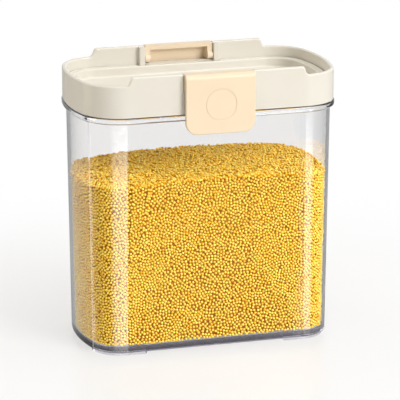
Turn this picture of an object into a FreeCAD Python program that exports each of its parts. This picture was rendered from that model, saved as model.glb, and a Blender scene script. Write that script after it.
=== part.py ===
import FreeCAD, Part
import math
import os
from FreeCAD import Vector

# A clear rectangular food keeper with a cream two-part lid and two flip latches.
# Millimetres, +Z up, X along the width, front on -Y, origin under the middle of the base.

# Lid outline
lid_width = 197.0          # over the middle of the bowed ends
lid_depth = 107.0
lid_corner = 30.0
end_radius = 136.0         # the two ends bow out on this radius

# Jar
wall_inset = 2.7           # the jar's upper wall lies this far inside the lid's outer face
jar_draft = 2.2            # the wall leans in by this much on each side from flange to base
jar_corner = 25.5
base_corner = 23.0
jar_wall = 2.2
floor_thick = 4.2
foot_height = 2.0
foot_width = 6.0
foot_inset = 0.4
foot_gap_x = 106.0         # free length between the feet along the front
foot_gap_y = 52.0          # and along the sides
base_round = 1.5
floor_round = 1.5
shoulder_height = 178.9    # top of the flange above the table
flange_thick = 4.4
flange_lip = 0.6           # the flange stands out past the lid by this
flange_round = 1.8
flange_top_round = 0.8
neck_height = 10.5
neck_round = 0.7

# Lid ring
lid_gap = 0.6              # shadow gap between flange and lid
low_rim = 23.3             # height of the end rims above the skirt's lower edge
rim_rise = 6.2             # the long walls rise this much above the end rims
raised_length = 129.0      # length of the raised walls along their top
step_run = 2.6             # length of the slope at each end of a raised wall
step_crest = 2.2           # radii of that slope where it leaves the wall and meets the rim
step_foot = 3.4
frame_wall = 3.2
skirt_wall = 1.5
rim_round = 1.2
shelf_reach = 7.2          # the inner shelf ends this far inside the lid's outer face
shelf_height = 11.4        # underside of the shelf above the skirt's lower edge
shelf_thick = 2.0

# Lid tray
seam = 0.7                 # groove between tray and ring
ledge_thick = 2.0
plug_gap = 3.0             # room for the gasket between plug and neck
plug_wall = 1.8
recess_depth = 7.0
recess_round = 1.6
recess_edge_round = 0.9
tray_floor = 2.0
rib_reach = 1.65           # the two gasket ribs stand out from the plug by this
rib_thick = 1.4

# Gasket
gasket_height = 5.2
gasket_body = 1.4
gasket_fit = 0.05          # between gasket and plug
gasket_seat = 0.2          # between gasket and ribs
gasket_drop = 8.0          # top of the gasket below the ledge's top
lip_thick = 0.9
lip_inset = 1.0            # the lips lie this far from the gasket's ends
lip_clear = 0.3            # between the lips and the neck

# Latches
latch_width = 52.4
latch_drop = 34.2          # from the hinge axis to the latch's lower edge
latch_rise = 9.9           # from the hinge axis to the latch's top
latch_plate = 2.4
latch_proud = 4.6          # the plate's face stands out from the lid wall by this at the top
latch_flare = 0.55         # and by this much more at the lower edge
latch_roll = 4.0           # radius over the top
latch_lower_corner = 9.0
latch_edge_round = 0.7
bar_height = 3.2
bar_fillet = 1.2
arm_width = 3.9
arm_reach = 1.5            # bar and arms reach this far inside the hinge axis
knuckle_radius = 3.0
hinge_inset = 3.45         # hinge axis inside the lid's outer face
hinge_height = 19.6        # hinge axis above the skirt's lower edge
trunnion_radius = 1.8
trunnion_length = 2.6
trunnion_clear = 0.08
trunnion_end_clear = 0.4
window_clear = 0.5         # between latch and window on each side
sill_clear = 0.6           # between the knuckle and the window's sill
cheek_width = 4.5
cheek_drop = 0.6           # cheeks end this far below the raised wall
cheek_round = 0.8
bead_clear = 0.35          # between the catch bead and the flange's edge
bead_drop = 1.5            # catch bead below the flange
bead_length = 40.0
ring_radius = 11.5         # plain ring sunk in the latch's face
ring_width = 0.9
ring_depth = 0.3
ring_drop = 12.8           # ring centre below the hinge axis

# Contents
fill_level = 127.0         # at the end walls
fill_crown = 4.0           # rise in the middle
fill_clear = 0.3

# Worked out from the sizes above
flange_bottom = shoulder_height - flange_thick
neck_top = shoulder_height + neck_height
floor_top = foot_height + floor_thick
base_inset = wall_inset + jar_draft
neck_inset = wall_inset + jar_wall
lid_bottom = shoulder_height + lid_gap
rim_top = lid_bottom + low_rim
wall_top = rim_top + rim_rise
shelf_bottom = lid_bottom + shelf_height
shelf_top = shelf_bottom + shelf_thick
ledge_top = shelf_top + ledge_thick
plug_inset = neck_inset + plug_gap
recess_inset = plug_inset + plug_wall
gasket_top = ledge_top - gasket_drop
gasket_bottom = gasket_top - gasket_height
plug_bottom = gasket_bottom - gasket_seat - rib_thick
hinge_y = hinge_inset - lid_depth / 2
hinge_z = lid_bottom + hinge_height
latch_half = latch_width / 2
window_half = latch_half + window_clear
sill_z = hinge_z - knuckle_radius - sill_clear
latch_top = hinge_z + latch_rise
latch_low = hinge_z - latch_drop
latch_lean = latch_flare / (latch_rise + latch_drop)
face_top = -lid_depth / 2 - latch_proud
bar_bottom = latch_top - bar_height
OVER = 5.0                 # cutters run past the faces they cut by this
TINY = 1e-4                # edges closer than this to a place count as lying there


def outline(inset, z, corner=None):
    """Closed wire of the lid's outline, drawn in by inset, with its own corner radius if given."""
    radius = lid_corner - inset if corner is None else corner
    bow = end_radius - inset
    tip_x = lid_width / 2 - inset
    near_y = lid_depth / 2 - inset - radius
    turn = math.asin(near_y / (bow - radius))
    near_x = tip_x - bow + (bow - radius) * math.cos(turn)
    halfway = (turn + math.pi / 2) / 2
    corner_points = [
        Vector(near_x + radius * math.cos(angle), near_y + radius * math.sin(angle), z)
        for angle in (turn, halfway, math.pi / 2)
    ]
    arcs = []
    for sign_x, sign_y in ((1, -1), (1, 1), (-1, 1), (-1, -1)):
        points = [Vector(sign_x * p.x, sign_y * p.y, z) for p in corner_points]
        arcs.append(Part.Arc(*(points if sign_x * sign_y > 0 else points[::-1])))
    edges = []
    for k, (arc, following) in enumerate(zip(arcs, arcs[1:] + arcs[:1])):
        edges.append(arc.toShape())
        if k % 2:
            edges.append(Part.LineSegment(arc.EndPoint, following.StartPoint).toShape())
        else:
            tip = Vector(tip_x if k == 0 else -tip_x, 0, z)
            edges.append(Part.Arc(arc.EndPoint, tip, following.StartPoint).toShape())
    return Part.Wire(edges)


def soft_face(corners, plane):
    """Flat face through (a, b, radius) corners in the XZ or YZ plane, each corner with its own arc."""
    points = [Vector(a, 0, b) if plane == "xz" else Vector(0, a, b) for a, b, _ in corners]
    arcs = []
    for k, point in enumerate(points):
        radius = corners[k][2]
        back = (points[k - 1] - point).normalize()
        ahead = (points[(k + 1) % len(points)] - point).normalize()
        half = back.getAngle(ahead) / 2
        reach = radius / math.tan(half)
        middle = point + (back + ahead).normalize() * (radius / math.sin(half) - radius)
        arcs.append((point + back * reach, middle, point + ahead * reach, radius))
    edges = []
    for k, (first, middle, last, radius) in enumerate(arcs):
        if radius > 0:
            edges.append(Part.Arc(first, middle, last).toShape())
        edges.append(Part.LineSegment(last, arcs[(k + 1) % len(arcs)][0]).toShape())
    return Part.Face(Part.Wire(edges))


def slab(inset, low, high, corner=None):
    """Plate of the lid's outline drawn in by inset."""
    return Part.Face(outline(inset, low, corner)).extrude(Vector(0, 0, high - low))


def jar_slab(inset, low, high):
    """Plate of the jar's own outline, whose corners are tighter than the lid's."""
    return slab(inset, low, high, jar_corner + wall_inset - inset)


def band(outer, inner, low, high):
    """Closed band between two insets of the lid's outline."""
    return slab(outer, low, high).cut(slab(inner, low, high))


def block(x_range, y_range, z_range):
    """Box between two corners."""
    (x0, x1), (y0, y1), (z0, z1) = x_range, y_range, z_range
    return Part.makeBox(x1 - x0, y1 - y0, z1 - z0, Vector(x0, y0, z0))


def rod(radius, x0, x1, y, z):
    """Round bar along X."""
    return Part.makeCylinder(radius, x1 - x0, Vector(x0, y, z), Vector(1, 0, 0))


def level_edges(shape, z):
    """Edges that lie wholly at one height."""
    spans = [(edge, edge.BoundBox.ZMin - z, edge.BoundBox.ZMax - z) for edge in shape.Edges]
    return [edge for edge, low, high in spans if abs(low) + abs(high) < TINY]


def both_sides(solid):
    """The solid and its mirror image across the plane X = 0."""
    return [solid, solid.mirror(Vector(0, 0, 0), Vector(1, 0, 0))]


def turned(solid):
    """A copy turned half round about Z, from the front to the back."""
    copy = solid.copy()
    copy.rotate(Vector(0, 0, 0), Vector(0, 0, 1), 180)
    return copy


def save(shape, node):
    """Write one node as one STEP file."""
    shape = shape.removeSplitter()
    print(node, "solids", len(shape.Solids), "valid", shape.isValid(), "cm3", round(shape.Volume / 1000, 2))
    shape.exportStep("parts/" + node + ".step")


def jar_inside(clear, low):
    """The space inside the jar's leaning wall, drawn in by clear, from low up to the flange."""
    lean = jar_draft / (flange_bottom - foot_height)
    low_inset = neck_inset + clear + lean * (flange_bottom - low)
    lower = outline(low_inset, low, base_corner - jar_wall - clear)
    upper = outline(neck_inset + clear, flange_bottom, jar_corner - jar_wall - clear)
    space = Part.makeLoft([lower, upper], True, True)
    return space.makeFillet(floor_round, level_edges(space, low))


def make_jar():
    """Clear body: leaning walls, floor, corner feet, flange and neck."""
    base = outline(base_inset, foot_height, base_corner)
    body = Part.makeLoft([base, outline(wall_inset, flange_bottom, jar_corner)], True, True)
    body = body.makeFillet(base_round, level_edges(body, foot_height))
    flange = slab(-flange_lip, flange_bottom, shoulder_height)
    flange = flange.makeFillet(flange_round, level_edges(flange, flange_bottom))
    flange = flange.makeFillet(flange_top_round, level_edges(flange, shoulder_height))
    neck = jar_slab(wall_inset, flange_bottom, neck_top)
    foot_outer = base_inset + base_round + foot_inset
    foot_corner = base_corner - base_round - foot_inset
    foot_z = (0, floor_top - floor_thick / 2)
    feet = slab(foot_outer, *foot_z, foot_corner)
    feet = feet.cut(slab(foot_outer + foot_width, *foot_z, foot_corner - foot_width))
    for gap_x, gap_y in ((foot_gap_x, lid_depth), (lid_width, foot_gap_y)):
        feet = feet.cut(block((-gap_x / 2, gap_x / 2), (-gap_y / 2, gap_y / 2), foot_z))
    mouth = jar_slab(neck_inset, flange_bottom, neck_top + OVER)
    solid = body.fuse([flange, neck, feet]).cut(jar_inside(0, floor_top).fuse(mouth))
    return solid.makeFillet(neck_round, level_edges(solid, neck_top))


def end_cutter():
    """What is taken off above the low rim at the +X end, with the soft step down from the raised wall."""
    crest_x = raised_length / 2
    far_x = lid_width / 2 + OVER
    high_z = wall_top + OVER
    corners = [
        (crest_x + step_run, rim_top, step_foot),
        (far_x, rim_top, 0),
        (far_x, high_z, 0),
        (crest_x - OVER, high_z, 0),
        (crest_x - OVER, wall_top, 0),
        (crest_x, wall_top, step_crest),
    ]
    face = soft_face(corners, "xz")
    face.translate(Vector(0, -lid_depth / 2 - OVER, 0))
    return face.extrude(Vector(0, lid_depth + 2 * OVER, 0))


def is_rim(edge):
    """True for the edges where the ring's top meets its outer or inner wall."""
    halfway = (edge.FirstParameter + edge.LastParameter) / 2
    along = edge.tangentAt(halfway)
    return edge.valueAt(halfway).z > rim_top - TINY and Vector(along.x, along.y, 0).Length > TINY


def make_lid_frame():
    """Ring with a thin skirt, an inner shelf, raised long walls, latch windows and hinge cheeks."""
    wall = band(0, frame_wall, lid_bottom, wall_top).cut(both_sides(end_cutter()))
    wall = wall.makeFillet(rim_round, [edge for edge in wall.Edges if is_rim(edge)])
    wall = wall.cut(slab(skirt_wall, lid_bottom, shelf_bottom))
    shelf = band(skirt_wall, shelf_reach, shelf_bottom, shelf_top)
    window_y = (-lid_depth / 2 - OVER, lid_depth / 2 + OVER)
    window = block((-window_half, window_half), window_y, (sill_z, wall_top + OVER))
    cheek_x = (window_half, window_half + cheek_width)
    cheek_y = (frame_wall / 2 - lid_depth / 2, shelf_reach - lid_depth / 2)
    cheek = block(cheek_x, cheek_y, (shelf_top - shelf_thick / 2, wall_top - cheek_drop))
    inner = [edge for edge in cheek.Edges if abs(edge.BoundBox.YMin - cheek_y[1]) < TINY]
    cheek = cheek.makeFillet(cheek_round, [edge for edge in inner if edge.BoundBox.XLength < TINY])
    socket_end = latch_half + trunnion_length + trunnion_end_clear
    socket = rod(trunnion_radius + trunnion_clear, window_half - OVER, socket_end, hinge_y, hinge_z)
    cheeks = both_sides(cheek) + both_sides(turned(cheek))
    sockets = both_sides(socket) + both_sides(turned(socket))
    return wall.fuse([shelf] + cheeks).cut([window] + sockets)


def make_lid_tray():
    """Inner panel: ledge on the ring's shelf, sunk floor, and the plug with its two gasket ribs."""
    ledge = slab(frame_wall + seam, shelf_top, ledge_top)
    cheek_reach = shelf_reach + seam
    notch_x = (window_half - seam, window_half + cheek_width + seam)
    notch = block(notch_x, (-lid_depth / 2, cheek_reach - lid_depth / 2), (shelf_top, ledge_top))
    ledge = ledge.cut(both_sides(notch) + both_sides(turned(notch)))
    plug = jar_slab(plug_inset, plug_bottom, ledge_top)
    ribs = []
    for low in (plug_bottom, gasket_top + gasket_seat):
        ribs.append(jar_slab(plug_inset - rib_reach, low, low + rib_thick))
    floor_z = ledge_top - recess_depth
    recess = jar_slab(recess_inset, floor_z, ledge_top + OVER)
    recess = recess.makeFillet(recess_round, level_edges(recess, floor_z))
    under = jar_slab(recess_inset, plug_bottom - OVER, floor_z - tray_floor)
    solid = ledge.fuse([plug] + ribs).cut([recess, under])
    mouth = jar_slab(recess_inset - seam, ledge_top - seam, ledge_top + seam).BoundBox
    rim = [edge for edge in level_edges(solid, ledge_top) if mouth.isInside(edge.BoundBox)]
    return solid.makeFillet(recess_edge_round, rim)


def make_gasket():
    """Soft ring round the plug with two lips towards the neck."""
    body = jar_slab(plug_inset - gasket_fit - gasket_body, gasket_bottom, gasket_top)
    lips = []
    for low in (gasket_bottom + lip_inset, gasket_top - lip_inset - lip_thick):
        lips.append(jar_slab(neck_inset + lip_clear, low, low + lip_thick))
    return body.fuse(lips).cut(jar_slab(plug_inset - gasket_fit, gasket_bottom, gasket_top))


def face_y(z):
    """Where the front latch's outer face lies at a height."""
    return face_top - latch_lean * (latch_top - z)


def is_face_edge(edge):
    """True for the edges round the latch's outer face, apart from the one where the roll begins."""
    on_face = [abs(vertex.Y - face_y(vertex.Z)) < TINY for vertex in edge.Vertexes]
    level = edge.BoundBox.ZLength < TINY
    return all(on_face) and not (level and edge.BoundBox.ZMin > hinge_z)


def make_latch_plate():
    """The latch's plate with its rolled top, inner bar, round lower corners and eased edges."""
    bar_y = hinge_y + arm_reach
    section = soft_face([
        (face_y(latch_low), latch_low, 0),
        (face_top, latch_top, latch_roll),
        (bar_y, latch_top, 0),
        (bar_y, bar_bottom, 0),
        (face_y(bar_bottom) + latch_plate, bar_bottom, bar_fillet),
        (face_y(latch_low) + latch_plate, latch_low, 0),
    ], "yz")
    section.translate(Vector(-latch_half, 0, 0))
    silhouette = soft_face([
        (-latch_half, latch_top, 0),
        (latch_half, latch_top, 0),
        (latch_half, latch_low, latch_lower_corner),
        (-latch_half, latch_low, latch_lower_corner),
    ], "xz")
    silhouette.translate(Vector(0, bar_y + OVER, 0))
    through = silhouette.extrude(Vector(0, face_y(latch_low) - bar_y - 2 * OVER, 0))
    plate = section.extrude(Vector(latch_width, 0, 0)).common(through)
    return plate.makeFillet(latch_edge_round, [edge for edge in plate.Edges if is_face_edge(edge)])


def make_latch_arm():
    """The hinge arm at the +X end, from the plate to its knuckle and trunnion."""
    arm_x = (latch_half - arm_width, latch_half)
    arm_top = bar_bottom + bar_height / 2
    web = block(arm_x, (face_top + latch_plate / 2, hinge_y), (hinge_z - knuckle_radius, arm_top))
    post = block(arm_x, (hinge_y, hinge_y + arm_reach), (hinge_z, arm_top))
    knuckle = rod(knuckle_radius, *arm_x, hinge_y, hinge_z)
    trunnion = rod(trunnion_radius, arm_x[0], latch_half + trunnion_length, hinge_y, hinge_z)
    return web.fuse([post, knuckle, trunnion])


def make_catch_bead():
    """The rounded bead on the plate's inner side, just below the flange."""
    bead_z = flange_bottom - bead_drop
    bead_y = face_y(bead_z) + latch_plate
    bead_radius = -lid_depth / 2 - flange_lip - bead_clear - bead_y
    bead_x = (-bead_length / 2, bead_length / 2)
    sunk_y = (bead_y - bead_radius, bead_y - latch_plate / 2)
    sunk = block(bead_x, sunk_y, (bead_z - bead_radius, bead_z + bead_radius))
    return rod(bead_radius, *bead_x, bead_y, bead_z).cut(sunk)


def make_ring_groove():
    """The plain ring sunk square into the latch's outer face."""
    ring_z = hinge_z - ring_drop
    inward = Vector(0, 1, -latch_lean)
    start = Vector(0, face_y(ring_z), ring_z) - inward * OVER
    outer = Part.makeCylinder(ring_radius + ring_width / 2, OVER + ring_depth, start, inward)
    return outer.cut(Part.makeCylinder(ring_radius - ring_width / 2, OVER + ring_depth, start, inward))


def make_front_latch():
    """Flip latch in one piece: plate, two hinge arms, catch bead and ring."""
    pieces = both_sides(make_latch_arm()) + [make_catch_bead()]
    return make_latch_plate().fuse(pieces).cut(make_ring_groove())


def make_millet_fill():
    """The dry goods: the jar's inside with a low crown."""
    half_x = lid_width / 2 - neck_inset
    radius = (half_x ** 2 + fill_crown ** 2) / (2 * fill_crown)
    dome = Part.makeSphere(radius, Vector(0, 0, fill_level + fill_crown - radius))
    return jar_inside(fill_clear, floor_top + fill_clear).common(dome)


os.makedirs("parts", exist_ok=True)
front_latch = make_front_latch()
save(make_jar(), "jar")
save(make_lid_frame(), "lid_frame")
save(make_lid_tray(), "lid_tray")
save(make_gasket(), "lid_gasket")
save(front_latch, "front_latch")
save(turned(front_latch), "rear_latch")
save(make_millet_fill(), "millet_fill")
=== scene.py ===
# %% [markdown]
# A clear keeper of millet with a cream lid and two peach latches.
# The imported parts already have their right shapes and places, so this lesson
# is about looks: light, clear plastic, moulded plastic and thousands of grains.

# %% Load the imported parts
import math

import bmesh
import bpy
import numpy as np
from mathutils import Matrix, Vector


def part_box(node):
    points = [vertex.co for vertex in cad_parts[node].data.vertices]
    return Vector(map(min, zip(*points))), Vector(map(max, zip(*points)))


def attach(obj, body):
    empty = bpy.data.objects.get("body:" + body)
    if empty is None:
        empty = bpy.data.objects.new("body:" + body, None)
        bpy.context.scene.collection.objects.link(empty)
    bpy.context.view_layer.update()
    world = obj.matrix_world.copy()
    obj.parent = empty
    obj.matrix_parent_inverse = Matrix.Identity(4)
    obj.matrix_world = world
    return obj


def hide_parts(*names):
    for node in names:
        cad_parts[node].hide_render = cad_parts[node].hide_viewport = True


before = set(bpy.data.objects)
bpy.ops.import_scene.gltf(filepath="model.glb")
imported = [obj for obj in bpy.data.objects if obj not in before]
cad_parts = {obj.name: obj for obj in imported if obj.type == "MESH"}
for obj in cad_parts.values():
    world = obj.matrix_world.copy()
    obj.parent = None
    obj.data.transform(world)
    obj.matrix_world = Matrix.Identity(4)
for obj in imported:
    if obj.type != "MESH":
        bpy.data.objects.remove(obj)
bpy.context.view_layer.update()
scene = bpy.context.scene
print("parts:", ", ".join(sorted(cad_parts)))

# %% [markdown]
# The camera stands a little to the left of the front and looks slightly down,
# from far away through a long lens, so upright edges stay almost parallel.
# Its place is written as an angle round the object, an angle above the floor
# and a distance, because these are easier to tune than three coordinates.

# %% Camera
def from_angles(azimuth, elevation):
    """The direction from the object towards a viewer at these angles, in degrees."""
    a, e = math.radians(azimuth), math.radians(elevation)
    return Vector((math.sin(a) * math.cos(e), -math.cos(a) * math.cos(e), math.sin(e)))


def aim(thing, place, target):
    """Puts a camera or a lamp at a place and turns it to a target."""
    thing.location = place
    thing.rotation_euler = (Vector(target) - Vector(place)).to_track_quat("-Z", "Y").to_euler()
    scene.collection.objects.link(thing)


look_at = Vector((0.00182, 0.0, 0.10013))
view_azimuth, view_elevation, view_distance = -16.86, 15.17, 2.0952
camera = bpy.data.objects.new("camera", bpy.data.cameras.new("camera"))
camera.data.lens = 253.4
camera.data.sensor_width = 36
aim(camera, look_at + from_angles(view_azimuth, view_elevation) * view_distance, look_at)
scene.camera = camera
scene.view_settings.view_transform = "Standard"
print("camera stands at", [round(c, 3) for c in camera.location])

# %% [markdown]
# Materials and node groups are graphs. To read like a formula, each socket is
# wrapped in a small class: adding or multiplying two wires adds a Math node.
# Every other node comes from its one method node(), which takes the node's
# type, then its settings, then the values or links of its sockets.

# %% A wire that can be used in sums
class Wire:
    def __init__(self, tree, socket=None):
        self.tree, self.socket = tree, socket

    def node(self, kind, settings=None, sockets=None, out=None):
        """Adds a node and gives the wire of its named output, or of its first one."""
        made = self.tree.nodes.new(kind)
        for name, value in (settings or {}).items():
            setattr(made, name, value)
        live = [s for s in made.inputs if s.enabled]
        for name, value in (sockets or {}).items():
            by_place = isinstance(name, int)
            socket = live[name] if by_place else next(s for s in live if s.name == name)
            if isinstance(value, Wire):
                self.tree.links.new(value.socket, socket)
            else:
                socket.default_value = value
        shown = [s for s in made.outputs if s.enabled]
        return Wire(self.tree, next((s for s in shown if out in (None, s.name)), None))

    def sum(self, operation, *terms):
        """A Math node with any operation."""
        return self.node("ShaderNodeMath", {"operation": operation}, dict(enumerate(terms)))

    def __add__(self, other):
        return self.sum("ADD", self, other)

    def __sub__(self, other):
        return self.sum("SUBTRACT", self, other)

    def __rsub__(self, other):
        return self.sum("SUBTRACT", other, self)

    def __mul__(self, other):
        return self.sum("MULTIPLY", self, other)

    __radd__, __rmul__ = __add__, __mul__

    def either(self, other):
        """The larger of two values, which joins two masks."""
        return self.sum("MAXIMUM", self, other)

    def ramp(self, low, high, to_low=0.0, to_high=1.0):
        """A soft step from one value to another."""
        return self.node(
            "ShaderNodeMapRange", {"interpolation_type": "SMOOTHSTEP"},
            {"Value": self, "From Min": low, "From Max": high, "To Min": to_low, "To Max": to_high},
        )

    def blend(self, first, second):
        """A colour between two, with this wire as the share of the second."""
        return self.node(
            "ShaderNodeMix", {"data_type": "RGBA"}, {"Factor": self, "A": first, "B": second},
        )


print("wires are ready")

# %% [markdown]
# The room is white all round. What the camera sees, directly or through clear
# plastic, is full white. Diffuse surfaces get about half of that, and the rest
# from lamps, so that shapes keep some shade; the light from the left is dimmer
# and warmer, as if from a wooden wall there. Mirrored rays see a bright room
# above the horizon. Below it the room is dark in front and pale behind, so the
# front of the jar carries no white veil, and its end wall, seen at a low angle,
# carries some.

# %% Room
scene.world = bpy.data.worlds.new("white_room")
scene.world.use_nodes = True
room = Wire(scene.world.node_tree)
room.tree.nodes.clear()


def ray_kinds(wire):
    """Two masks: rays that see what is behind in a straight line, and rays that were mirrored."""
    path = wire.node("ShaderNodeLightPath").socket.node
    camera_ray, through, mirrors = (
        Wire(wire.tree, path.outputs[name])
        for name in ("Is Camera Ray", "Is Transmission Ray", "Glossy Depth")
    )
    mirrored = mirrors.sum("MINIMUM", mirrors, 1.0)
    return camera_ray.either(through) * (1 - mirrored), mirrored


room_light = 0.50
mirror_above, mirror_front, mirror_back = 0.95, 0.03, 0.44
full_white, warm_white = (1, 1, 1, 1), (1, 0.91, 0.74, 1)
direct, mirrored = ray_kinds(room)
heading = room.node("ShaderNodeTexCoord", None, None, "Generated")
side, depth, height = (
    room.node("ShaderNodeSeparateXYZ", None, {"Vector": heading}, axis) for axis in "XYZ"
)
above = height.ramp(-0.12, 0.15)
below = depth.ramp(-0.2, 0.8, mirror_front, mirror_back)
mirror_view = above * mirror_above + (1 - above) * below
diffuse = (1 - direct) * (1 - mirrored)
level = direct + mirrored * mirror_view + diffuse * side.ramp(-1, 1, 0.75, 1.20) * room_light
warmth = (diffuse * side.ramp(0.6, -0.8)).blend(full_white, warm_white)
sky = room.node("ShaderNodeBackground", None, {"Color": warmth, "Strength": level})
room.node("ShaderNodeOutputWorld", None, {"Surface": sky})
print("room light:", room_light)

# %% [markdown]
# Two upright cards of light stand in front, one to each side. The round corners
# of the jar mirror them as the two pale bands that make the plastic look clear.
# The left card fades out sideways, because its band does, and a narrow card at
# the back draws a thin line where the left corner runs into the end wall. They
# hang lower than the table top, where upright walls mirror a camera that looks
# down a little. They are dimmer at the top, which the empty part of the jar
# mirrors, and fade out at both ends, so that no wall mirrors a hard edge.

# %% Light cards
def start_material(name):
    """A material without nodes yet, and the wire to build them with."""
    material = bpy.data.materials.new(name)
    material.use_nodes = True
    wire = Wire(material.node_tree)
    wire.tree.nodes.clear()
    return material, wire


card_glow, wire = start_material("card_glow")
glow = wire.node("ShaderNodeAttribute", {"attribute_name": "glow"}, None, "Fac")
wire.node("ShaderNodeOutputMaterial", None, {
    "Surface": wire.node("ShaderNodeEmission", None, {"Color": full_white, "Strength": glow}),
})
card_shares = ((-1.30, 0.0), (-0.85, 1.0), (-0.52, 1.0), (-0.44, 0.3), (-0.20, 0.0))


def light_card(name, azimuths, glows, distance=2.4):
    """An upright curved card round the object, with its glow given at some azimuths.

    At each height in card_shares it has that share of the glow.
    """
    corners, glow_values, faces = [], [], []
    for azimuth in np.linspace(azimuths[0], azimuths[-1], 33):
        way = from_angles(azimuth, 0) * distance
        for height, share in card_shares:
            corners.append((way.x, way.y, height))
            glow_values.append(np.interp(azimuth, azimuths, glows) * share)
    rows = len(card_shares)
    for i in range(0, len(corners) - rows, rows):
        faces += [(j, j + rows, j + rows + 1, j + 1) for j in range(i, i + rows - 1)]
    mesh = bpy.data.meshes.new(name)
    mesh.from_pydata(corners, [], faces)
    mesh.attributes.new("glow", "FLOAT", "POINT").data.foreach_set("value", glow_values)
    mesh.materials.append(card_glow)
    card = bpy.data.objects.new(name, mesh)
    scene.collection.objects.link(card)
    card.visible_camera = False
    card.visible_shadow = False


light_card("right_card", (20, 21, 42, 52), (0.0, 3.8, 3.4, 0.0))
light_card("left_card", (-48, -30, 8, 13), (0.0, 2.8, 3.6, 0.0))
light_card("back_card", (-139, -136, -129, -126), (0.0, 2.6, 2.6, 0.0))
print("three light cards")

# %% [markdown]
# Soft boxes give the light that surfaces scatter: the main one from the right
# front, one overhead for the lid's recess, and a weak warm one from behind on
# the left, which lifts the lid's left end. Each is given as the share of full
# white that it puts on a white sheet, so that the sum is easy to keep near one.

# %% Soft boxes
def soft_box(name, azimuth, elevation, distance, size, share, colour=(1, 1, 1)):
    """A square lamp that gives a white surface facing it this share of full white."""
    lamp = bpy.data.lights.new(name, "AREA")
    lamp.shape = "SQUARE"
    lamp.size = size
    lamp.color = colour
    lamp.energy = share * math.pi ** 2 * distance ** 2
    box = bpy.data.objects.new(name, lamp)
    target = Vector((0, 0, 0.1))
    aim(box, target + from_angles(azimuth, elevation) * distance, target)
    box.visible_camera = False


soft_box("key_box", 32, 25, 3.0, 1.5, 0.68)
soft_box("top_box", 0, 80, 1.9, 1.2, 0.31)
soft_box("left_box", -112, 6, 1.9, 1.0, 0.30, (1, 0.92, 0.78))
print("three soft boxes")

# %% [markdown]
# The floor is a plain white sheet. Near the object it keeps a soft shadow and
# a faint blurred mirror image; further out it fades into pure white, so that no
# edge shows where the floor ends. Mirrored rays pass through it to the cards.

# %% Floor
half = 6.0
shadow_reach, white_from, white_near = 0.10, 0.45, 0.55
floor_mesh = bpy.data.meshes.new("floor")
floor_corners = [(-half, -half, 0), (half, -half, 0), (half, half, 0), (-half, half, 0)]
floor_mesh.from_pydata(floor_corners, [], [(0, 1, 2, 3)])
floor = bpy.data.objects.new("floor", floor_mesh)
scene.collection.objects.link(floor)
paper, sheet = start_material("white_sheet")
place = sheet.node("ShaderNodeTexCoord", None, None, "Object")
reach = sheet.node("ShaderNodeVectorMath", {"operation": "LENGTH"}, {0: place}, "Value")
lit = sheet.node(
    "ShaderNodeBsdfPrincipled", None,
    {"Base Color": (0.86, 0.86, 0.86, 1), "Roughness": 0.25, "IOR": 1.6},
)
white = sheet.node("ShaderNodeEmission", None, {"Color": full_white, "Strength": 1.0})
direct, mirrored = ray_kinds(sheet)
share = direct * reach.ramp(shadow_reach, white_from, white_near, 1.0)
seen = sheet.node("ShaderNodeMixShader", None, {0: share, 1: lit, 2: white})
passed = sheet.node("ShaderNodeBsdfTransparent")
sheet.node("ShaderNodeOutputMaterial", None, {
    "Surface": sheet.node("ShaderNodeMixShader", None, {0: mirrored, 1: seen, 2: passed}),
})
floor_mesh.materials.append(paper)
print("floor laid")

# %% [markdown]
# The jar is one thick-walled clear moulding. It is shaded as a real solid:
# light bends at its faces, and a grey-blue tint deepens with the length of
# plastic that light goes through, so walls are clear and edges are dark. Its
# floor is painted a little darker and more violet, as painted shade for the
# dark band along the base, and the underside, which rubs on shelves, is not
# quite as polished as the walls. Lamp rays pass the plastic straight, or the
# grains inside would be lit by noise alone.

# %% Clear plastic
def object_noise(wire, scale, detail=2.0, stretch=(1, 1, 1)):
    """Noise in the object's own metres, which can be stretched along an axis."""
    place = wire.node("ShaderNodeTexCoord", None, None, "Object")
    place = wire.node("ShaderNodeMapping", None, {"Vector": place, "Scale": stretch})
    sockets = {"Vector": place, "Scale": scale, "Detail": detail}
    return wire.node("ShaderNodeTexNoise", None, sockets, "Fac")


def object_height(wire):
    """Height above the table in metres."""
    place = wire.node("ShaderNodeTexCoord", None, None, "Object")
    return wire.node("ShaderNodeSeparateXYZ", None, {"Vector": place}, "Z")


# painted shade: the second tint paints the jar's floor darker and more violet, for the dark band
# along its base
wall_tint, floor_shade_tint = (0.975, 0.977, 0.98, 1), (0.86, 0.83, 0.90, 1)
rub_height, underside, floor_shade_heights = 0.05, (0.0035, 0.0025), (0.0080, 0.0045)
clear, wire = start_material("clear_plastic")
haze = object_noise(wire, 22).ramp(0.45, 0.75)
streaks = object_noise(wire, 900, 1.0, (1, 1, 0.08)).ramp(0.62, 0.75)
rub = streaks * object_height(wire).ramp(rub_height, 0.0)
under = object_height(wire).ramp(*underside)
floor_shade = object_height(wire).ramp(*floor_shade_heights)
flow = wire.node("ShaderNodeBump", None, {
    "Height": object_noise(wire, 26, 0.0), "Strength": 0.05, "Distance": 0.0006,
})
plastic = wire.node("ShaderNodeBsdfPrincipled", None, {
    "Base Color": floor_shade.blend(wall_tint, floor_shade_tint),
    "Roughness": haze * 0.02 + rub * 0.12 + under * 0.15 + 0.012,
    "Normal": flow, "IOR": 1.5, "Transmission Weight": 1.0,
})
straight = wire.node("ShaderNodeBsdfTransparent", None, {"Color": (0.995, 0.995, 0.995, 1)})
shadow_ray = wire.node("ShaderNodeLightPath", None, None, "Is Shadow Ray")
tint = wire.node("ShaderNodeVolumeAbsorption", None, {
    "Color": (0.33, 0.31, 0.40, 1), "Density": 7.0,
})
wire.node("ShaderNodeOutputMaterial", None, {
    "Surface": wire.node("ShaderNodeMixShader", None, {0: shadow_ray, 1: plastic, 2: straight}),
    "Volume": tint,
})
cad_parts["jar"].material_slots[0].material = clear
print("jar: clear plastic")

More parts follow.
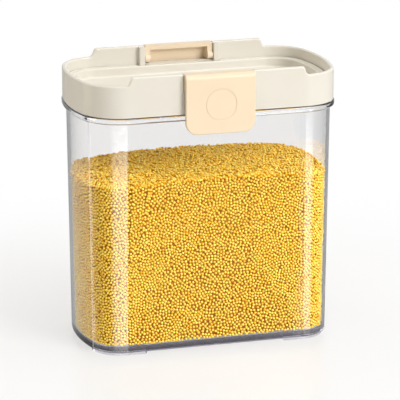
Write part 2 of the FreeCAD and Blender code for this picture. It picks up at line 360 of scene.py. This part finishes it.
# %% [markdown]
# The lid's ring and its inner tray are moulded in one cream plastic. The mould
# leaves a very fine satin grain, which softens the shine, and the colour drifts
# a little over the surface, as it does where the melt flowed. The peach latches
# are made in the same way with a duller finish, so one function serves both.

# %% Moulded plastics
def moulded(name, pale, deep, gloss, grain_size, grain_height):
    """A satin moulded plastic with a slow drift of colour and a fine grain."""
    material, wire = start_material(name)
    drift = object_noise(wire, 30, 3.0).ramp(0.3, 0.7)
    grain = object_noise(wire, 1 / grain_size, 2.0)
    touched = object_noise(wire, 70, 4.0).ramp(0.5, 0.8)
    skin = wire.node("ShaderNodeBump", None, {
        "Height": grain, "Strength": 0.35, "Distance": grain_height,
    })
    plastic = wire.node("ShaderNodeBsdfPrincipled", None, {
        "Base Color": drift.blend(pale, deep), "Normal": skin, "IOR": 1.5,
        "Roughness": grain * 0.06 + touched * 0.06 + gloss,
    })
    wire.node("ShaderNodeOutputMaterial", None, {"Surface": plastic})
    return material


cream = moulded(
    "cream_plastic", (0.718, 0.683, 0.608, 1), (0.702, 0.666, 0.588, 1),
    gloss=0.17, grain_size=0.0005, grain_height=0.00002,
)
for name in ("lid_frame", "lid_tray"):
    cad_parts[name].material_slots[0].material = cream
peach = moulded(
    "peach_plastic", (0.80, 0.655, 0.475, 1), (0.788, 0.64, 0.456, 1),
    gloss=0.32, grain_size=0.0004, grain_height=0.00002,
)
for name in ("front_latch", "rear_latch"):
    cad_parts[name].material_slots[0].material = peach
print("lid: cream plastic; latches: peach plastic")

# %% [markdown]
# The seal is a milky silicone ring, hidden until the lid is lifted. Light goes
# a little way into it, and its soft skin picks up fine dust.

# %% Silicone
silicone, wire = start_material("milky_silicone")
dust = object_noise(wire, 2200, 2.0).ramp(0.6, 0.7)
rubber = wire.node("ShaderNodeBsdfPrincipled", None, {
    "Base Color": dust.blend((0.86, 0.85, 0.81, 1), (0.78, 0.77, 0.73, 1)),
    "Roughness": dust * 0.2 + 0.42, "IOR": 1.41,
    "Subsurface Weight": 0.3, "Subsurface Scale": 0.002,
})
wire.node("ShaderNodeOutputMaterial", None, {"Surface": rubber})
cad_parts["lid_gasket"].material_slots[0].material = silicone
print("seal: milky silicone")

# %% [markdown]
# Millet is thousands of round grains, each a little different. The imported fill
# is one smooth block, so it gives the surface on which grains are scattered,
# and a copy of it, a little smaller and painted a darker orange as painted
# shade, closes the gaps behind them. The flanks of each grain are painted a
# deeper orange than its crown, which faces out: painted shade for light that
# has gone from grain to grain and lost its blue.

# %% Grain and bed materials
grain_finish, wire = start_material("millet_grain")
tone = wire.node("ShaderNodeAttribute", {"attribute_name": "tone"}, None, "Fac")
crown_shade = wire.node("ShaderNodeAttribute", {"attribute_name": "crown_shade"}, None, "Fac")
speck = object_noise(wire, 1500, 1.0)
golden = tone.ramp(0.0, 1.0).blend((1.0, 0.79, 0.13, 1), (0.98, 0.66, 0.05, 1))
golden = tone.ramp(0.93, 0.99).blend(golden, (0.85, 0.46, 0.02, 1))
golden = (speck * 0.2).blend(golden, (1.0, 0.88, 0.28, 1))
grain_skin = wire.node("ShaderNodeBsdfPrincipled", None, {
    # painted shade: flanks get the deep orange, crowns the golden tone
    "Base Color": crown_shade.ramp(0.0, 0.8).blend((0.88, 0.43, 0.006, 1), golden),
    "Roughness": speck * 0.15 + 0.2, "IOR": 1.45,
})
wire.node("ShaderNodeOutputMaterial", None, {"Surface": grain_skin})

# painted shade: the bed stands for the grains behind and is painted a dark orange for the shade
# between them
shaded_bed_finish, wire = start_material("shaded_millet_bed")
place = wire.node("ShaderNodeTexCoord", None, None, "Object")
cell = wire.node("ShaderNodeTexVoronoi", None, {"Vector": place, "Scale": 480.0}, "Distance")
hollows = wire.node("ShaderNodeBump", {"invert": True}, {
    "Height": cell, "Strength": 0.8, "Distance": 0.0006,
})
bed_skin = wire.node("ShaderNodeBsdfPrincipled", None, {
    # painted shade: darker still towards the edges of each cell, where the hollows are
    "Base Color": cell.ramp(0.1, 0.6).blend((0.65, 0.28, 0.006, 1), (0.40, 0.15, 0.003, 1)),
    "Roughness": 0.7, "Normal": hollows,
})
wire.node("ShaderNodeOutputMaterial", None, {"Surface": bed_skin})
print("millet finishes ready")

# %% [markdown]
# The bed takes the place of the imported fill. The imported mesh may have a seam
# along each edge, so its doubled points are joined first; each point then moves
# inwards along its normal by about the size of a grain.

# %% Bed under the grains
def sealed_copy(node_name, shrink):
    """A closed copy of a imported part's mesh, moved inwards by a small distance."""
    shape = bmesh.new()
    shape.from_mesh(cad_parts[node_name].data)
    bmesh.ops.remove_doubles(shape, verts=shape.verts, dist=2e-6)
    shape.normal_update()
    for vert in shape.verts:
        vert.co -= vert.normal * shrink
    mesh = bpy.data.meshes.new(node_name + "_copy")
    shape.to_mesh(mesh)
    shape.free()
    return mesh


def show(name, mesh, body):
    """Links a finished mesh as a piece that rides on a body."""
    piece = bpy.data.objects.new(name, mesh)
    scene.collection.objects.link(piece)
    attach(piece, body)
    return piece


bed_depth = 0.0022
bed_mesh = sealed_copy("millet_fill", bed_depth)
bed_mesh.materials.clear()
bed_mesh.materials.append(shaded_bed_finish)
bed_mesh.shade_smooth()
bed = show("shaded_millet_bed", bed_mesh, "jar")
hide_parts("millet_fill")
print("bed:", len(bed_mesh.polygons), "triangles")

# %% [markdown]
# A Geometry Nodes tree scatters the grains. Its named inputs are lengths in
# metres, a seed, a finish and two corners of a box, outside of which no grain
# is made. A few helpers keep the tree short to write.

# %% Inputs of the scatter tree
tree = bpy.data.node_groups.new("grain_scatter", "GeometryNodeTree")
socket_of = {}
for name, kind in (
    ("Surface", "Geometry"), ("Spacing", "Float"), ("Pitch", "Float"), ("Shakes", "Int"),
    ("Radius", "Float"), ("Sink", "Float"),
    ("Low", "Vector"), ("High", "Vector"), ("Seed", "Int"), ("Finish", "Material"),
):
    socket = tree.interface.new_socket(name, in_out="INPUT", socket_type="NodeSocket" + kind)
    socket_of[name] = socket.identifier
tree.interface.new_socket("Grains", in_out="OUTPUT", socket_type="NodeSocketGeometry")
wire = Wire(tree)
given = wire.node("NodeGroupInput").socket.node


def ask(name):
    """The wire of a named input."""
    return Wire(tree, given.outputs[name])


def parts(vector):
    """The three wires of a vector."""
    split = wire.node("ShaderNodeSeparateXYZ", None, {"Vector": vector}).socket.node
    return [Wire(tree, s) for s in split.outputs]


def chance(low, high, offset, kind="FLOAT"):
    """A random number or vector for each point; the offset keeps the draws apart."""
    sockets = {"Min": low, "Max": high, "Seed": ask("Seed") + offset}
    return wire.node("FunctionNodeRandomValue", {"data_type": kind}, sockets)


def vectors(operation, first, second=None, factor=None):
    """A vector operation on one vector, on two, or on one and a factor."""
    sockets = {0: first}
    if second is not None:
        sockets[1] = second
    if factor is not None:
        sockets["Scale"] = factor
    return wire.node("ShaderNodeVectorMath", {"operation": operation}, sockets)


print("scatter inputs:", ", ".join(socket_of))

# %% [markdown]
# Points are spread on the fill's walls and top, but not on its underside, with
# a least distance between them. A repeat zone then settles them, as shaking the
# jar would: each point moves half the missing distance away from its nearest
# neighbour and back onto the wall, until the gaps are about even.

# %% Points that settle
underside_facing, most_per_square_metre = -0.5, 4e6
normal = wire.node("GeometryNodeInputNormal")
facing = parts(normal)[2]
points = wire.node(
    "GeometryNodeDistributePointsOnFaces", {"distribute_method": "POISSON"},
    {"Mesh": ask("Surface"),
     "Selection": facing.sum("GREATER_THAN", facing, underside_facing),
     "Distance Min": ask("Spacing"), "Density Max": most_per_square_metre, "Seed": ask("Seed")},
)
shake_in = wire.node("GeometryNodeRepeatInput", None, {"Iterations": ask("Shakes")}).socket.node
shake_out = tree.nodes.new("GeometryNodeRepeatOutput")
shake_in.pair_with_output(shake_out)
tree.links.new(points.socket, shake_in.inputs["Geometry"])
loose = Wire(tree, shake_in.outputs["Geometry"])
here = wire.node("GeometryNodeInputPosition")
nearest = wire.node("GeometryNodeIndexOfNearest", None, None, "Index")
neighbour = wire.node("GeometryNodeSampleIndex", {"data_type": "FLOAT_VECTOR"}, {
    "Geometry": loose, "Value": here, "Index": nearest,
})
apart = vectors("SUBTRACT", here, neighbour)
gap = wire.node("ShaderNodeVectorMath", {"operation": "LENGTH"}, {0: apart}, "Value")
push = (ask("Pitch") - gap).either(0.0) * 0.5
moved = vectors("ADD", here, vectors("SCALE", vectors("NORMALIZE", apart), factor=push))
on_wall = wire.node(
    "GeometryNodeProximity", None, {0: ask("Surface"), "Sample Position": moved}, "Position",
)
settled = wire.node("GeometryNodeSetPosition", None, {"Geometry": loose, "Position": on_wall})
tree.links.new(settled.socket, shake_out.inputs["Geometry"])
points = Wire(tree, shake_out.outputs["Geometry"])
print("points settle in a repeat zone")

# %% [markdown]
# Each point sinks behind the wall by about the radius of a grain, so that the
# grains touch the plastic from inside. On top, where nothing levels them, they
# lie at very different heights. Each then gets a small ball with its crown
# turned outwards, sized by chance, with a tone of its own.

# %% Balls on the points
out_of_wall = wire.node("GeometryNodeSampleNearestSurface", {"data_type": "FLOAT_VECTOR"}, {
    "Mesh": ask("Surface"), "Value": normal,
})
on_top = parts(out_of_wall)[2].ramp(0.3, 0.9)
depths = chance(0.97, 1.14, 1) + on_top * chance(-1.1, 0.5, 9)
sunk = vectors("SCALE", out_of_wall, factor=0 - ask("Sink") * depths)
points = wire.node("GeometryNodeSetPosition", None, {"Geometry": points, "Offset": sunk})
inside = 1.0
centre = wire.node("GeometryNodeInputPosition")
for along, low, high in zip(parts(centre), parts(ask("Low")), parts(ask("High"))):
    inside = along.sum("GREATER_THAN", along, low) * along.sum("LESS_THAN", along, high) * inside
full_turn = 6.28
lean = chance((-0.4, -0.4, -0.4), (0.4, 0.4, 0.4), 2, "FLOAT_VECTOR")
turns = wire.node("FunctionNodeAlignRotationToVector", {"axis": "Z"}, {
    "Rotation": wire.node("ShaderNodeCombineXYZ", None, {"Z": chance(0, full_turn, 3)}),
    "Vector": vectors("ADD", out_of_wall, lean),
})
sizes = wire.node("ShaderNodeCombineXYZ", None, {
    "X": chance(0.9, 1.08, 5), "Y": chance(0.88, 1.05, 6), "Z": chance(0.8, 1.0, 7),
})
ball = wire.node("GeometryNodeMeshUVSphere", None, {
    "Radius": ask("Radius"), "Segments": 7, "Rings": 5,
})
# painted shade: each ball stores its height over its centre, which paints its flanks darker than
# its crown
upward = parts(wire.node("GeometryNodeInputPosition"))[2]
ball = wire.node("GeometryNodeStoreNamedAttribute", {"data_type": "FLOAT", "domain": "POINT"}, {
    "Geometry": ball, "Name": "crown_shade", "Value": upward.sum("DIVIDE", upward, ask("Radius")),
})
balls = wire.node("GeometryNodeInstanceOnPoints", None, {
    "Points": points, "Selection": inside, "Rotation": turns, "Scale": sizes, "Instance": ball,
})
balls = wire.node("GeometryNodeStoreNamedAttribute", {"data_type": "FLOAT", "domain": "INSTANCE"}, {
    "Geometry": balls, "Name": "tone", "Value": chance(0, 1, 8),
})
balls = wire.node("GeometryNodeRealizeInstances", None, {"Geometry": balls})
balls = wire.node("GeometryNodeSetShadeSmooth", None, {"Geometry": balls, "Shade Smooth": True})
balls = wire.node("GeometryNodeSetMaterial", None, {"Geometry": balls, "Material": ask("Finish")})
wire.node("NodeGroupOutput", None, {"Grains": balls})
print("scatter tree has", len(tree.nodes), "nodes")

# %% [markdown]
# The tree runs once for each layer, with the same seed and another box, so the
# layers fit together without a seam and each mesh keeps a modest size. What it
# makes is copied into a plain mesh, and the modifier goes away with its source.

# %% Grains in layers
grain_values = {
    "Spacing": 0.00180, "Pitch": 0.00226, "Shakes": 24, "Radius": 0.00114, "Sink": 0.00122,
    "Seed": 7, "Finish": grain_finish,
}


def grains(name, low, high):
    """One layer of grains between two corners, as a plain mesh that rides on the jar."""
    source = bpy.data.objects.new("scatter_source", sealed_copy("millet_fill", 0.0))
    scene.collection.objects.link(source)
    scatter = source.modifiers.new("scatter", "NODES")
    scatter.node_group = tree
    for label, value in {**grain_values, "Low": low, "High": high}.items():
        scatter[socket_of[label]] = value
    solved = source.evaluated_get(bpy.context.evaluated_depsgraph_get())
    mesh = bpy.data.meshes.new_from_object(solved)
    bpy.data.objects.remove(source)
    show(name, mesh, "jar")
    return sum(len(face.vertices) - 2 for face in mesh.polygons)


fill_low, fill_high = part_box("millet_fill")
brim_drop, wall_layers = 0.0075, 5
brim = fill_high.z - brim_drop
steps = np.linspace(fill_low.z - 0.001, brim, wall_layers + 1)
counts = [
    grains(f"millet_layer_{i + 1}", (-1, -1, float(a)), (1, 1, float(b)))
    for i, (a, b) in enumerate(zip(steps, steps[1:]))
]
counts += [
    grains("millet_top_left", (-1, -1, brim), (0, 1, 1)),
    grains("millet_top_right", (0, -1, brim), (1, 1, 1)),
]
print("grain triangles per layer:", counts)
